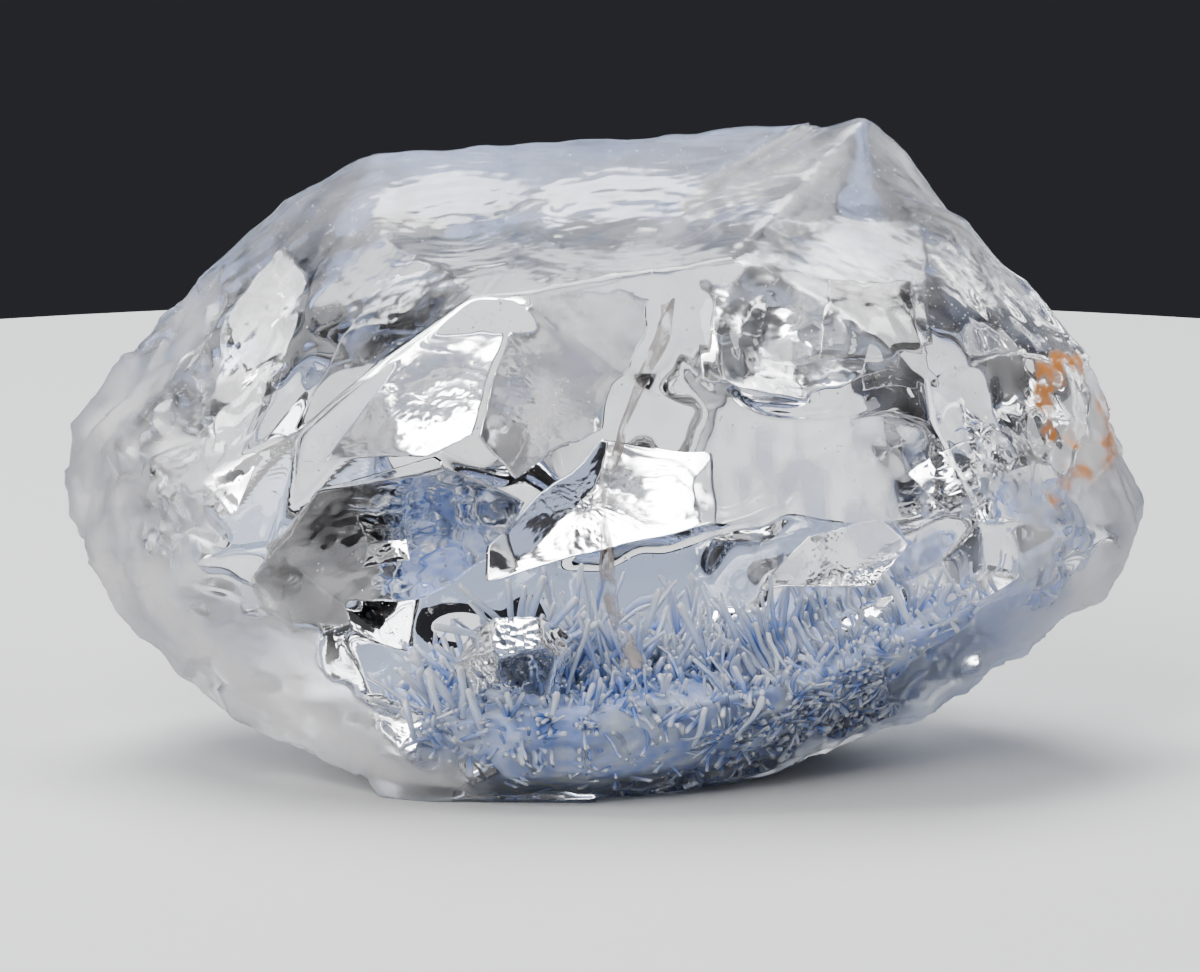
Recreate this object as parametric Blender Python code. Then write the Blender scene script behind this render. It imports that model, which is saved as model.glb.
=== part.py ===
"""A broken piece of clear quartz, about 28 mm long, with a bed of blue dumortierite needles in its foot.

The stone is knapped out of a block: flat faces are cut with planes, conchoidal scars and the small
chips along its rim are bitten out with balls. The needles' bed is sealed in a pocket, so the stone is
parted in two halves that meet in an upright plane. The needles grew together into one crust.
The origin is the middle of the stone's box, on the surface it rests on. +X right, +Y back, +Z up.
"""

import math
import random

import bmesh
import bpy
from mathutils import Vector

MM = 0.001

# The outline was read from one place in front of the stone, looking slightly down at it.
# Places are given as that view shows them, in millimetres: right and up from the middle of the foot,
# and depth, away from the eye.
SIGHT_TILT = math.radians(12)
EYE_DISTANCE = 250.0
VIEW_MIDDLE = (-0.19, 8.03)
RIGHT = Vector((1, 0, 0))
UP = Vector((0, math.sin(SIGHT_TILT), math.cos(SIGHT_TILT)))
AWAY = Vector((0, math.cos(SIGHT_TILT), -math.sin(SIGHT_TILT)))

BLOCK = 60.0  # side of the block that the stone is knapped from
HEART = (0.0, 8.3, 0.3)  # a place deep in the stone: right, up, depth
FOOT_SIDE = 16  # the outline's side that the stone rests on

# Corners of the outline, clockwise from the lower left. After its place each has how far the faces
# in front of and behind the edge that follows lean over, in degrees.
OUTLINE = [
    # right, up, depth, front lean, back lean
    (-5.64, 0.00, -4.6, 33, 14),
    (-9.79, 2.00, -2.6, 31, 24),
    (-12.78, 4.61, -1.0, 30, 30),
    (-14.00, 7.22, 0.2, 33, 36),
    (-13.95, 9.60, 0.5, 28, 44),
    (-12.10, 12.10, 1.2, 33, 56),
    (-8.17, 15.46, 1.0, 27, 58),
    (-6.37, 16.50, 1.4, 25, 62),
    (6.75, 17.48, 1.6, 36, 50),
    (8.53, 15.84, 0.8, 30, 52),
    (12.66, 11.40, 0.0, 36, 40),
    (14.00, 7.93, -0.2, 42, 36),
    (13.95, 7.12, -0.6, 38, 30),
    (13.06, 5.25, -1.0, 32, 14),
    (8.43, 2.05, -2.0, 36, 6),
    (4.37, 0.63, -3.2, 36, 4),
    (0.04, 0.00, -4.8, 32, 14),
]

# Faces inside the outline: a place on the face (right, up, depth), the way it faces as a bearing
# in the view (0 right, 90 up), and how far it turns to the eye in degrees (90 faces it, -90 faces away).
FACES = [
    (-3.5, 7.0, -6.3, 200, 84),
    (4.0, 6.5, -6.4, -20, 83),
    (5.5, 9.9, -6.35, 66, 70),
    (-10.2, 9.0, -4.6, 168, 60),
    (-8.6, 4.6, -5.0, 226, 59),
    (10.9, 9.0, -4.6, 14, 58),
    (9.0, 4.8, -5.0, 308, 60),
    (-8.8, 13.0, -4.2, 130, 50),
    (-5.0, 9.0, 6.4, 152, -70),
    (3.0, 9.0, 6.8, 34, -74),
    (-3.0, 4.5, 5.6, 262, -58),
    (5.0, 5.0, 5.4, 288, -54),
    (0.0, 13.5, 6.0, 92, -52),
    (-10.0, 9.0, 4.4, 184, -48),
    (10.0, 10.0, 4.6, 18, -46),
    (9.0, 4.5, 4.2, 322, -50),
    (-8.0, 4.5, 4.2, 218, -52),
    (-7.0, 13.0, 4.4, 132, -48),
]

# Ledges, where a corner broke out between two walls: the corner's place, the middle way between the
# walls' faces (bearing, turn to the eye), and how far the walls are rolled about that way.
LEDGES = [
    (8.55, 14.75, 0.4, 62, -6, 20),
    (11.45, 12.35, -0.4, 40, 4, 60),
    (-6.0, 6.2, 3.6, 236, -58, 14),
    (1.5, 9.6, 4.9, 62, -66, 30),
    (-1.2, 12.4, 4.2, 100, -60, 48),
    (5.6, 6.0, 4.2, 300, -52, 62),
    (-9.6, 10.6, 2.6, 160, -40, 33),
    (10.3, 7.4, 2.8, 352, -46, 18),
]
LEDGE_SPREAD = 42.0  # how far each wall turns from the middle way, in degrees

# Conchoidal scars: the way from the heart (bearing, turn to the eye), the ball's radius, and the bite
# into the flat face met there.
SCARS = [
    (37, 44, 10.0, 0.42),
    (121, 19, 9.0, 0.34),
    (86, 27, 14.0, 0.26),
    (170, 20, 8.0, 0.36),
    (203, 25, 10.0, 0.26),
    (5, 18, 8.0, 0.40),
    (157, 53, 24.0, 0.26),
    (352, 47, 12.0, 0.32),
    (70, -60, 12.0, 0.45),
    (150, -58, 9.0, 0.45),
    (20, -62, 13.0, 0.50),
    (215, -60, 9.0, 0.45),
    (335, -54, 7.0, 0.40),
    (186, -52, 6.0, 0.35),
    (96, -70, 8.0, 0.45),
]

# Chips along the outline: the first and last side they are on, how many, their size and how deep
# they bite.
CHIP_ROWS = [
    # first side, last side, count, smallest radius, largest radius, bite
    (4, 6, 12, 0.9, 1.8, 0.06),
    (7, 7, 11, 0.9, 2.0, 0.06),
    (8, 11, 14, 0.6, 1.4, 0.12),
    (9, 9, 3, 1.8, 2.6, 0.36),
    (12, 15, 26, 0.5, 1.0, 0.22),
    (0, 3, 16, 0.7, 1.6, 0.12),
]
CHIP_SEED = 11
CHIP_BALL_FLATS = 0.07  # how far the few flats of a chip's ball lie inside its radius, as a share

# The crust of needles: how far it keeps from the stone's skin, and its two overlapping beds, each
# bounded by the stone's own faces drawn in and by four planes of its own, given as in FACES.
CRUST_DEPTH_IN = 0.95
BEDS = [
    [
        (-1.0, 3.2, -2.4, 96, 14),
        (-4.6, 2.0, -2.0, 180, 0),
        (5.0, 3.0, -2.0, 0, 0),
        (0.0, 3.0, 2.4, 90, -78),
    ],
    [
        (6.5, 5.0, -2.0, 112, 16),
        (2.0, 3.0, -2.0, 180, 0),
        (10.9, 6.0, -1.0, 8, 10),
        (6.0, 4.0, 2.2, 90, -78),
    ],
]

# The bed's sheaves, which stand on it like small shocks of straw.
SHEAVES = [
    # root (right, up, depth), bearing, turn to the eye, length, tip radius
    (-3.4, 2.5, -2.5, 122, 6, 2.4, 0.70),
    (-2.3, 2.6, -2.9, 88, 8, 2.9, 0.85),
    (-0.8, 2.6, -2.6, 72, 2, 3.3, 0.85),
    (0.8, 2.8, -3.1, 98, 4, 2.9, 0.75),
    (2.5, 3.0, -2.6, 82, 6, 2.5, 0.85),
    (4.1, 3.4, -2.7, 104, 8, 2.3, 0.75),
    (5.7, 3.9, -2.3, 88, 4, 2.3, 0.90),
    (7.3, 4.6, -2.0, 100, 8, 1.9, 0.75),
    (8.7, 5.2, -1.4, 74, 0, 1.6, 0.70),
    (-2.2, 3.1, -0.8, 102, -2, 2.3, 0.85),
    (-0.3, 3.2, -0.2, 88, -2, 3.3, 0.95),
    (2.2, 3.3, 0.0, 98, -8, 2.9, 0.85),
    (4.8, 3.8, 0.4, 82, -6, 2.6, 0.90),
    (7.3, 4.8, 0.2, 94, -8, 2.0, 0.80),
]
SHEAF_ROOT_RADIUS = 0.45
SHEAF_SIDES = 7
SHEAF_SUNK = 0.6  # how deep a sheaf's root goes into the bed
PLAY = 0.3  # gap between the needles and their pocket, and between the two halves
PARTING_DEPTH = -1.6  # where the upright plane between the halves cuts the view's middle line

QUARTZ_LOOK = ((0.86, 0.87, 0.90, 1.0), 0.15)
NEEDLE_LOOK = ((0.30, 0.42, 0.72, 1.0), 0.45)


def view_point(right, up, depth):
    """The place that the view shows at (right, up) and that lies that deep, in metres."""
    spread = (EYE_DISTANCE + depth) / EYE_DISTANCE
    across = VIEW_MIDDLE[0] + (right - VIEW_MIDDLE[0]) * spread
    above = VIEW_MIDDLE[1] + (up - VIEW_MIDDLE[1]) * spread
    return (RIGHT * across + UP * above + AWAY * depth) * MM


def facing(bearing, turn):
    """A unit vector from its bearing in the view and its turn to the eye, in degrees."""
    bearing, turn = math.radians(bearing), math.radians(turn)
    flat = RIGHT * math.cos(bearing) + UP * math.sin(bearing)
    return flat * math.cos(turn) - AWAY * math.sin(turn)


def outline_edge(side):
    """The two corners that an outline side runs between."""
    following = (side + 1) % len(OUTLINE)
    return view_point(*OUTLINE[side][:3]), view_point(*OUTLINE[following][:3])


def edge_ways(side):
    """The middle of an outline edge, the outward way there, and the way back into the view from it."""
    start, end = outline_edge(side)
    middle = (start + end) / 2
    eye = view_point(*VIEW_MIDDLE, -EYE_DISTANCE)
    outward = (end - start).cross(middle - eye).normalized()
    return middle, outward, outward.cross(end - start).normalized()


def outline_planes(side):
    """The faces in front of and behind one outline edge, as (place, outward normal)."""
    middle, outward, backward = edge_ways(side)
    front, back = (math.radians(lean) for lean in OUTLINE[side][3:])
    yield middle, outward * math.cos(front) - backward * math.sin(front)
    if side == FOOT_SIDE:
        yield middle, Vector((0, 0, -1))
    else:
        yield middle, outward * math.cos(back) + backward * math.sin(back)


def stone_planes():
    """Every flat face of the stone, as (place, outward normal)."""
    planes = [plane for side in range(len(OUTLINE)) for plane in outline_planes(side)]
    return planes + [placed_plane(face) for face in FACES]


def placed_plane(face):
    right, up, depth, bearing, turn = face
    return view_point(right, up, depth), facing(bearing, turn)


def skin(way):
    """Where a ray from the heart leaves the flat faces that way, and the way the face met there faces."""
    heart = view_point(*HEART)
    far, normal = min(
        ((place - heart).dot(normal) / normal.dot(way), tuple(normal))
        for place, normal in stone_planes()
        if normal.dot(way) > 0
    )
    return heart + way * far, Vector(normal)


def collection(name, hidden=False):
    made = bpy.data.collections.new(name)
    made.hide_render = hidden
    bpy.context.scene.collection.children.link(made)
    return made


def look(name, colour, roughness):
    material = bpy.data.materials.new(name)
    material.use_nodes = True
    shader = material.node_tree.nodes["Principled BSDF"]
    shader.inputs["Base Color"].default_value = colour
    shader.inputs["Roughness"].default_value = roughness
    shader.inputs["Metallic"].default_value = 0.0
    return material


def new_object(name, mesh, home, helper=False):
    made = bpy.data.objects.new(name, mesh)
    home.objects.link(made)
    if helper:
        made.hide_render = True
        made.display_type = "WIRE"
    return made


def mesh_of(shape, name):
    mesh = bpy.data.meshes.new(name)
    shape.to_mesh(mesh)
    shape.free()
    return mesh


def cut_flat(shape, place, normal):
    """Cuts away what lies beyond the plane, and closes the cut."""
    geometry = shape.verts[:] + shape.edges[:] + shape.faces[:]
    bmesh.ops.bisect_plane(
        shape, geom=geometry, dist=1e-7, plane_co=place, plane_no=normal, clear_outer=True
    )
    rim = [edge for edge in shape.edges if edge.is_boundary]
    bmesh.ops.holes_fill(shape, edges=rim, sides=0)


def knapped(planes, name):
    """A block of stone with every plane cut, as a mesh."""
    shape = bmesh.new()
    bmesh.ops.create_cube(shape, size=BLOCK * MM)
    bmesh.ops.translate(shape, verts=shape.verts, vec=view_point(*HEART))
    for place, normal in planes:
        cut_flat(shape, place, normal)
    bmesh.ops.remove_doubles(shape, verts=shape.verts, dist=1e-6)
    return mesh_of(shape, name)


def ledge_walls(bearing, turn, roll):
    """The ways that the two walls of a ledge face."""
    middle = facing(bearing, turn)
    side = middle.cross(UP).normalized()
    roll = math.radians(roll)
    across = side * math.cos(roll) + middle.cross(side) * math.sin(roll)
    spread = math.radians(LEDGE_SPREAD)
    for sign in (-1, 1):
        yield middle * math.cos(spread) + across * math.sin(spread) * sign


def ledge_wedges(home):
    """For each ledge the wedge of stone that broke out, which lies beyond both walls."""
    for number, (right, up, depth, bearing, turn, roll) in enumerate(LEDGES):
        corner = view_point(right, up, depth)
        planes = [(corner, -wall) for wall in ledge_walls(bearing, turn, roll)]
        name = f"ledge_{number:02d}"
        new_object(name, knapped(planes, name), home, helper=True)


def ball(name, centre, radius, home, subdivisions):
    shape = bmesh.new()
    bmesh.ops.create_icosphere(shape, subdivisions=subdivisions, radius=radius)
    made = new_object(name, mesh_of(shape, name), home, helper=True)
    made.location = centre
    return made


def biting_ball(name, start, out, radius, bite, home, subdivisions):
    """A ball that bites that deep into the surface at start, coming in against the way out."""
    return ball(name, start + out * (radius - bite) * MM, radius * MM, home, subdivisions)


def scar_balls(home):
    for number, (bearing, turn, radius, bite) in enumerate(SCARS):
        start, normal = skin(facing(bearing, turn))
        biting_ball(f"scar_{number:02d}", start, normal, radius, bite, home, 4)


def chip_balls(home):
    dice = random.Random(CHIP_SEED)
    for first, last, count, smallest, largest, bite in CHIP_ROWS:
        for number in range(count):
            along = first + (last + 1 - first) * (number + dice.uniform(0.1, 0.9)) / count
            start, end = outline_edge(int(along))
            place = start.lerp(end, along % 1) + AWAY * dice.uniform(-0.25, 0.25) * MM
            outward = edge_ways(int(along))[1]
            radius = dice.uniform(smallest, largest)
            deep = bite * dice.uniform(0.5, 1.0) + CHIP_BALL_FLATS * radius
            name = f"chip_{first:02d}_{last:02d}_{number:02d}"
            biting_ball(name, place, outward, radius, deep, home, 2)


def add_boolean(obj, operation, cutters):
    modifier = obj.modifiers.new(operation.lower(), "BOOLEAN")
    modifier.operation = operation
    modifier.solver = "EXACT"
    modifier.operand_type = "COLLECTION"
    modifier.collection = cutters
    modifier.use_self = True
    return modifier


def evaluated_mesh(obj):
    graph = bpy.context.evaluated_depsgraph_get()
    return bpy.data.meshes.new_from_object(obj.evaluated_get(graph))


def whole_stone(helpers):
    """The stone with its ledges, scars and chips, before it is parted, as a mesh."""
    blank = new_object("stone_blank", knapped(stone_planes(), "stone"), helpers, helper=True)
    for make_cutters in (ledge_wedges, scar_balls, chip_balls):
        cutters = collection(make_cutters.__name__, hidden=True)
        make_cutters(cutters)
        add_boolean(blank, "DIFFERENCE", cutters)
    return evaluated_mesh(blank)


def half_mesh(stone, name, side):
    """The stone in front of (side -1) or behind (side 1) the parting plane, with half the play left off."""
    shape = bmesh.new()
    shape.from_mesh(stone)
    place = view_point(*VIEW_MIDDLE, PARTING_DEPTH) + Vector((0, side * PLAY / 2 * MM, 0))
    cut_flat(shape, place, Vector((0, -side, 0)))
    return mesh_of(shape, name)


def bed_planes(bed, grown):
    """A bed's faces: the stone's own faces drawn in, and its own four, each moved out by grown."""
    drawn_in = (grown - CRUST_DEPTH_IN) * MM
    faces = [(place + normal * drawn_in, normal) for place, normal in stone_planes()]
    for face in bed:
        place, normal = placed_plane(face)
        faces.append((place + normal * grown * MM, normal))
    return faces


def sheaf(name, row, grown, home):
    """A fan of needles: a cone that widens from its root to its tips."""
    right, up, depth, bearing, turn, length, tip_radius = row
    way = facing(bearing, turn)
    shape = bmesh.new()
    bmesh.ops.create_cone(
        shape,
        cap_ends=True,
        segments=SHEAF_SIDES,
        radius1=(SHEAF_ROOT_RADIUS + grown) * MM,
        radius2=(tip_radius + grown) * MM,
        depth=(length + SHEAF_SUNK + 2 * grown) * MM,
    )
    made = new_object(name, mesh_of(shape, name), home, helper=True)
    made.rotation_mode = "QUATERNION"
    made.rotation_quaternion = way.to_track_quat("Z", "Y")
    made.location = view_point(right, up, depth) + way * (length - SHEAF_SUNK) / 2 * MM
    return made


def crust(name, grown, home, helper):
    """The first bed with the second and the sheaves joined on. Grown out, it cuts its own pocket."""
    made = new_object(name, knapped(bed_planes(BEDS[0], grown), name), home, helper=helper)
    shocks = collection(name + "_sheaves", hidden=True)
    second = knapped(bed_planes(BEDS[1], grown), name + "_second_bed")
    new_object(name + "_second_bed", second, shocks, helper=True)
    for number, row in enumerate(SHEAVES):
        sheaf(f"{name}_sheaf_{number:02d}", row, grown, shocks)
    add_boolean(made, "UNION", shocks)
    return made


def stand_on_origin(stone):
    """An empty that brings the stone's box to the origin, once its children hang on it."""
    corners = [vertex.co for vertex in stone.vertices]
    low = Vector(map(min, *corners))
    high = Vector(map(max, *corners))
    foot = bpy.data.objects.new("foot", None)
    bpy.context.scene.collection.objects.link(foot)
    foot.location = -Vector(((low.x + high.x) / 2, (low.y + high.y) / 2, low.z))
    return foot


def main():
    for obj in list(bpy.data.objects):
        bpy.data.objects.remove(obj)
    specimen = collection("dumortierite_quartz")
    helpers = collection("helpers", hidden=True)
    quartz = look("quartz", *QUARTZ_LOOK)
    needles = look("dumortierite", *NEEDLE_LOOK)

    stone = whole_stone(helpers)
    foot = stand_on_origin(stone)

    blue = crust("dumortierite", 0.0, specimen, helper=False)
    blue.data.materials.append(needles)
    pocket = crust("pocket", PLAY, helpers, helper=True)
    pocket_only = collection("pocket_cutter", hidden=True)
    helpers.objects.unlink(pocket)
    pocket_only.objects.link(pocket)

    for name, side in (("quartz_front", -1), ("quartz_back", 1)):
        half = new_object(name, half_mesh(stone, name, side), specimen)
        half.data.materials.append(quartz)
        add_boolean(half, "DIFFERENCE", pocket_only)

    for obj in bpy.data.objects:
        if obj is not foot:
            obj.parent = foot


main()
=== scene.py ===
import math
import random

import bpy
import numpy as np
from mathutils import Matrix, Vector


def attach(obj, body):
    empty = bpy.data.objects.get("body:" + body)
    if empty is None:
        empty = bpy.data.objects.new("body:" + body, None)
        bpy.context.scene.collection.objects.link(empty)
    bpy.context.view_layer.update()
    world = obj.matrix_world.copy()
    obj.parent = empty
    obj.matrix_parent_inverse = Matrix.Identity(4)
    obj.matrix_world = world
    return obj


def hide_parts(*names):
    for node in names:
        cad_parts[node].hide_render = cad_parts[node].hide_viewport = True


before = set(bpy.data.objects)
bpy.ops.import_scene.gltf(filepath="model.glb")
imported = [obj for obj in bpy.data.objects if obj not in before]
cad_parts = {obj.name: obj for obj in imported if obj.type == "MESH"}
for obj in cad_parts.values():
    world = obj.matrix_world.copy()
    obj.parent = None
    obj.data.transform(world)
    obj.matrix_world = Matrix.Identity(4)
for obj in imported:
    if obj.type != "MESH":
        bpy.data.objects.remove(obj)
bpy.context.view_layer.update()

# %% [markdown]
# # A piece of dumortierite quartz
# The stone is one lump of broken quartz, about 28 mm long. Low in it lies a bed of blue needles.
# Seen through clear stone, almost everything shows by how the faces bend the light, so the skin is
# modelled in detail: flat breaks, shell-shaped scars, ripples and a frosted rim.
# Every surface is worked out with numpy as an array of places, and Blender gets it in one go.
# It could be sculpted by hand as well, but a formula can be read, changed and run again.
# Lengths are in millimetres until a mesh is made.

MM = 0.001

# %% [markdown]
# ## The view
# The stone was measured in one picture, so it is built in the frame of that view: right, up, and
# depth away from an eye that looks down by 12 degrees from 250 mm. Two functions lead from there
# to the scene and back. A way is given by its bearing on the picture and its turn to the eye.

# %% From the view to the scene
VIEW_TILT = 12
EYE_DISTANCE = 250.0
MIDDLE = np.array([-0.19, 8.03])
PICTURE_WIDTH = 1200
PICTURE_MIDDLE, PICTURE_FOOT = 607.5, 803
PIXEL = 0.02534
TILT = math.radians(VIEW_TILT)
RIGHT = np.array([1.0, 0.0, 0.0])
UP = np.array([0.0, math.sin(TILT), math.cos(TILT)])
AWAY = np.array([0.0, math.cos(TILT), -math.sin(TILT)])
HOME = np.array([0.0254, -1.3278, -1.1249])


def unit(vectors):
    """Vectors divided by their own length."""
    return vectors / np.linalg.norm(vectors, axis=-1, keepdims=True)


def seen(right, up, depth):
    """The place that the front view shows at (right, up) and that lies that deep.

    A place farther off by depth is spread out from the view's middle by (250 + depth) / 250."""
    right, up, depth = np.broadcast_arrays(right, up, depth)
    spread = (EYE_DISTANCE + depth) / EYE_DISTANCE
    across = MIDDLE[0] + (right - MIDDLE[0]) * spread
    above = MIDDLE[1] + (up - MIDDLE[1]) * spread
    return across[..., None] * RIGHT + above[..., None] * UP + depth[..., None] * AWAY + HOME


def view_of(places):
    """The inverse of seen: where the front view shows a place, and its depth."""
    placed = places - HOME
    depth = placed @ AWAY
    shrink = EYE_DISTANCE / (EYE_DISTANCE + depth)
    right = MIDDLE[0] + (placed @ RIGHT - MIDDLE[0]) * shrink
    up = MIDDLE[1] + (placed @ UP - MIDDLE[1]) * shrink
    return right, up, depth


def seen_px(points):
    """Places in the front view from pixels of a 1200 wide picture: right and up of the foot."""
    points = np.array(points, dtype=float)
    across, down = points[:, 0], points[:, 1]
    return np.stack([(across - PICTURE_MIDDLE) * PIXEL, (PICTURE_FOOT - down) * PIXEL], -1)


def facing(bearing, turn):
    """A unit vector from its bearing (0 right, 90 up) and its turn to the eye, in degrees."""
    bearing, turn = np.radians(bearing), np.radians(turn)
    flat = np.cos(bearing)[..., None] * RIGHT + np.sin(bearing)[..., None] * UP
    return flat * np.cos(turn)[..., None] - AWAY * np.sin(turn)[..., None]


print("the eye is at, in mm:", np.round(seen(*MIDDLE, -EYE_DISTANCE), 1))

# %% [markdown]
# ## Helpers
# A smooth step blends one region into the next. A random field, made of sine waves, gives swells
# and clouds that come out the same each run. A soft minimum joins surfaces with rounded edges.
# Two helpers list the faces of grids and of swarms. The last one turns arrays into a mesh object
# and tells the frame what it belongs to.

# %% Steps, fields, faces and meshes
FAR = 99.0
GRAZING = 1e-3


def step(low, high, value):
    """A smooth step: 0 below low, 1 above high, three t squared less two t cubed between."""
    t = np.clip((value - low) / (high - low), 0, 1)
    return t * t * (3 - 2 * t)


def field(places, length, seed, waves=36):
    """A smooth random field, mostly within -1 to 1: sin(place.way + turn), added up over random
    ways. Their wavelengths lie around length."""
    dice = np.random.default_rng(seed)
    ways = unit(dice.normal(size=(waves, 3))) * 2 * np.pi
    ways /= length * dice.uniform(0.7, 1.4, waves)[:, None]
    turns = dice.uniform(0, 2 * np.pi, waves)
    return np.sin(places @ ways.T + turns).sum(-1) * (1.4 / waves) ** 0.5 * 0.75


def meets(far, cosine):
    """How far along a way a plane is met: its distance over the way's cosine, or FAR if never."""
    return np.where(cosine > GRAZING, far / np.maximum(cosine, GRAZING), FAR)


def soft_least(met, sharpness):
    """The soft minimum of each row, -ln(sum(exp(-k r))) / k; a larger k leaves sharper edges."""
    nearest = met.min(1)
    return nearest - np.log(np.exp((nearest[:, None] - met) * sharpness).sum(1)) / sharpness


def grid_squares(rows, columns):
    """The index of each point of a grid, and the grid's squares as rows of four such indices."""
    k = np.arange(rows * columns).reshape(rows, columns)
    return k, np.stack([k[:-1, :-1], k[1:, :-1], k[1:, 1:], k[:-1, 1:]], -1).reshape(-1, 4)


def repeated(faces, count, size):
    """The faces of one small body for count of them: each body's first index is size more."""
    return (faces[None] + (np.arange(count) * size)[:, None, None]).reshape(-1, faces.shape[1])


def solid(name, places, faces, slot, replaced=(), smooth=True, **values):
    """A mesh object at the origin from arrays; each keyword is a value kept per point."""
    mesh = bpy.data.meshes.new(name)
    mesh.from_pydata(places * MM, [], faces)
    mesh.shade_smooth() if smooth else mesh.shade_flat()
    for key, value in values.items():
        layer = mesh.attributes.new(key, "FLOAT", "POINT")
        layer.data.foreach_set("value", np.ascontiguousarray(value, dtype=np.float32))
    made = bpy.data.objects.new(name, mesh)
    bpy.context.scene.collection.objects.link(made)
    if slot:
        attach(made, "root")
    if replaced:
        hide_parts(*replaced)
    mesh.calc_loop_triangles()
    print(f"{name}: {len(mesh.vertices)} points, {len(mesh.loop_triangles)} triangles")
    return made


print("a step a quarter, half and three quarters up:", step(0, 1, np.array([0.25, 0.5, 0.75])))

# %% [markdown]
# ## Where the stone broke
# The skin is a star: along each way u from a heart deep in the stone it lies at the nearest of many
# surfaces. A plane through P facing n is met at (P - heart).n / (u.n). A ball around C, biting in
# from outside, is met at u.c - sqrt((u.c)^2 - c.c + radius^2), with c = C - heart.
# A ledge is the edge of a box, broken out of the stone, and is met at the farther of its two walls.
# Booleans would cut the same shapes, but leave long thin faces that shade badly in clear stone.

# %% Planes, balls and ledges
HEART = (0.0, 8.3, 0.3)
FOOT_SIDE = 16
SKIN_SHARPNESS = 26.0
OUTLINE = np.array([
    # corner (right, up, depth), clockwise; the front and the back break's lean from edge-on
    (-5.64, 0.00, -4.6, 33, 14), (-9.79, 2.00, -2.6, 31, 24), (-12.78, 4.61, -1.0, 30, 30),
    (-14.00, 7.22, 0.2, 33, 36), (-13.95, 9.60, 0.5, 28, 44), (-12.10, 12.10, 1.2, 33, 56),
    (-8.17, 15.46, 1.0, 27, 58), (-6.37, 16.50, 1.4, 25, 62), (6.75, 17.48, 1.6, 36, 50),
    (8.53, 15.84, 0.8, 30, 52), (12.66, 11.40, 0.0, 36, 40), (14.00, 7.93, -0.2, 42, 36),
    (13.95, 7.12, -0.6, 38, 30), (13.06, 5.25, -1.0, 32, 14), (8.43, 2.05, -2.0, 36, 6),
    (4.37, 0.63, -3.2, 36, 4), (0.04, 0.00, -4.8, 32, 14),
])
FACES = np.array([
    # a place on the break (right, up, depth), its bearing and turn
    (-3.5, 7.0, -6.3, 200, 84), (4.0, 6.5, -6.4, -20, 83), (5.5, 9.9, -6.35, 66, 70),
    (-10.2, 9.0, -4.6, 168, 60), (-8.6, 4.6, -5.0, 226, 59), (10.9, 9.0, -4.6, 14, 58),
    (9.0, 4.8, -5.0, 308, 60), (-8.8, 13.0, -4.2, 130, 50), (-5.0, 9.0, 6.4, 152, -70),
    (3.0, 9.0, 6.8, 34, -74), (-3.0, 4.5, 5.6, 262, -58), (5.0, 5.0, 5.4, 288, -54),
    (0.0, 13.5, 6.0, 92, -52), (-10.0, 9.0, 4.4, 184, -48), (10.0, 10.0, 4.6, 18, -46),
    (9.0, 4.5, 4.2, 322, -50), (-8.0, 4.5, 4.2, 218, -52), (-7.0, 13.0, 4.4, 132, -48),
])
SCARS = np.array([
    # bearing and turn from the heart, the ball's radius, how deep it bites
    (37, 44, 10.0, 0.42), (121, 19, 9.0, 0.34), (86, 27, 14.0, 0.26), (170, 20, 8.0, 0.36),
    (203, 25, 10.0, 0.26), (5, 18, 8.0, 0.40), (157, 53, 24.0, 0.26), (352, 47, 12.0, 0.32),
    (70, -60, 12.0, 0.45), (150, -58, 9.0, 0.45), (20, -62, 13.0, 0.50), (215, -60, 9.0, 0.45),
    (335, -54, 7.0, 0.40), (186, -52, 6.0, 0.35), (96, -70, 8.0, 0.45),
])
CHIP_ROWS = [
    # first and last outline edge, how many, smallest and largest radius, bite
    (4, 6, 12, 0.9, 1.8, 0.06), (7, 7, 11, 0.9, 2.0, 0.06), (8, 11, 14, 0.6, 1.4, 0.12),
    (9, 9, 3, 1.8, 2.6, 0.36), (12, 15, 26, 0.5, 1.0, 0.22), (0, 3, 16, 0.7, 1.6, 0.12),
]
LEDGES = np.array([
    # a place on its edge (right, up, depth), bearing and turn of its middle, roll about that
    (8.55, 14.75, 0.4, 62, -6, 20), (11.45, 12.35, -0.4, 40, 4, 60), (-6.0, 6.2, 3.6, 236, -58, 14),
    (1.5, 9.6, 4.9, 62, -66, 30), (-1.2, 12.4, 4.2, 100, -60, 48), (5.6, 6.0, 4.2, 300, -52, 62),
    (-9.6, 10.6, 2.6, 160, -40, 33), (10.3, 7.4, 2.8, 352, -46, 18),
])
LEDGE_SPREAD = 42.0
heart = seen(*HEART)


def outline_ways():
    """For every outline edge: start, end, its outward way, and its way back into the view."""
    start = seen(*OUTLINE[:, :3].T)
    end = np.roll(start, -1, axis=0)
    eye = seen(*MIDDLE, -EYE_DISTANCE)
    outward = unit(np.cross(end - start, (start + end) / 2 - eye))
    return start, end, outward, unit(np.cross(outward, end - start))


def stone_planes():
    """Places on the flat breaks and the ways these face: two at each outline edge, then FACES."""
    start, end, outward, backward = outline_ways()
    front, back = np.radians(OUTLINE[:, 3:].T)[..., None]
    in_front = outward * np.cos(front) - backward * np.sin(front)
    behind = outward * np.cos(back) + backward * np.sin(back)
    behind[FOOT_SIDE] = (0, 0, -1)
    middle = (start + end) / 2
    places = np.concatenate([middle, middle, seen(*FACES[:, :3].T)])
    return places, np.concatenate([in_front, behind, facing(*FACES[:, 3:].T)])


PLACES, NORMALS = stone_planes()


def plane_meets(ways):
    """How far along each way each plane is met: (place - heart).normal / way.normal."""
    return meets(((PLACES - heart) * NORMALS).sum(1), ways @ NORMALS.T)


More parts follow.
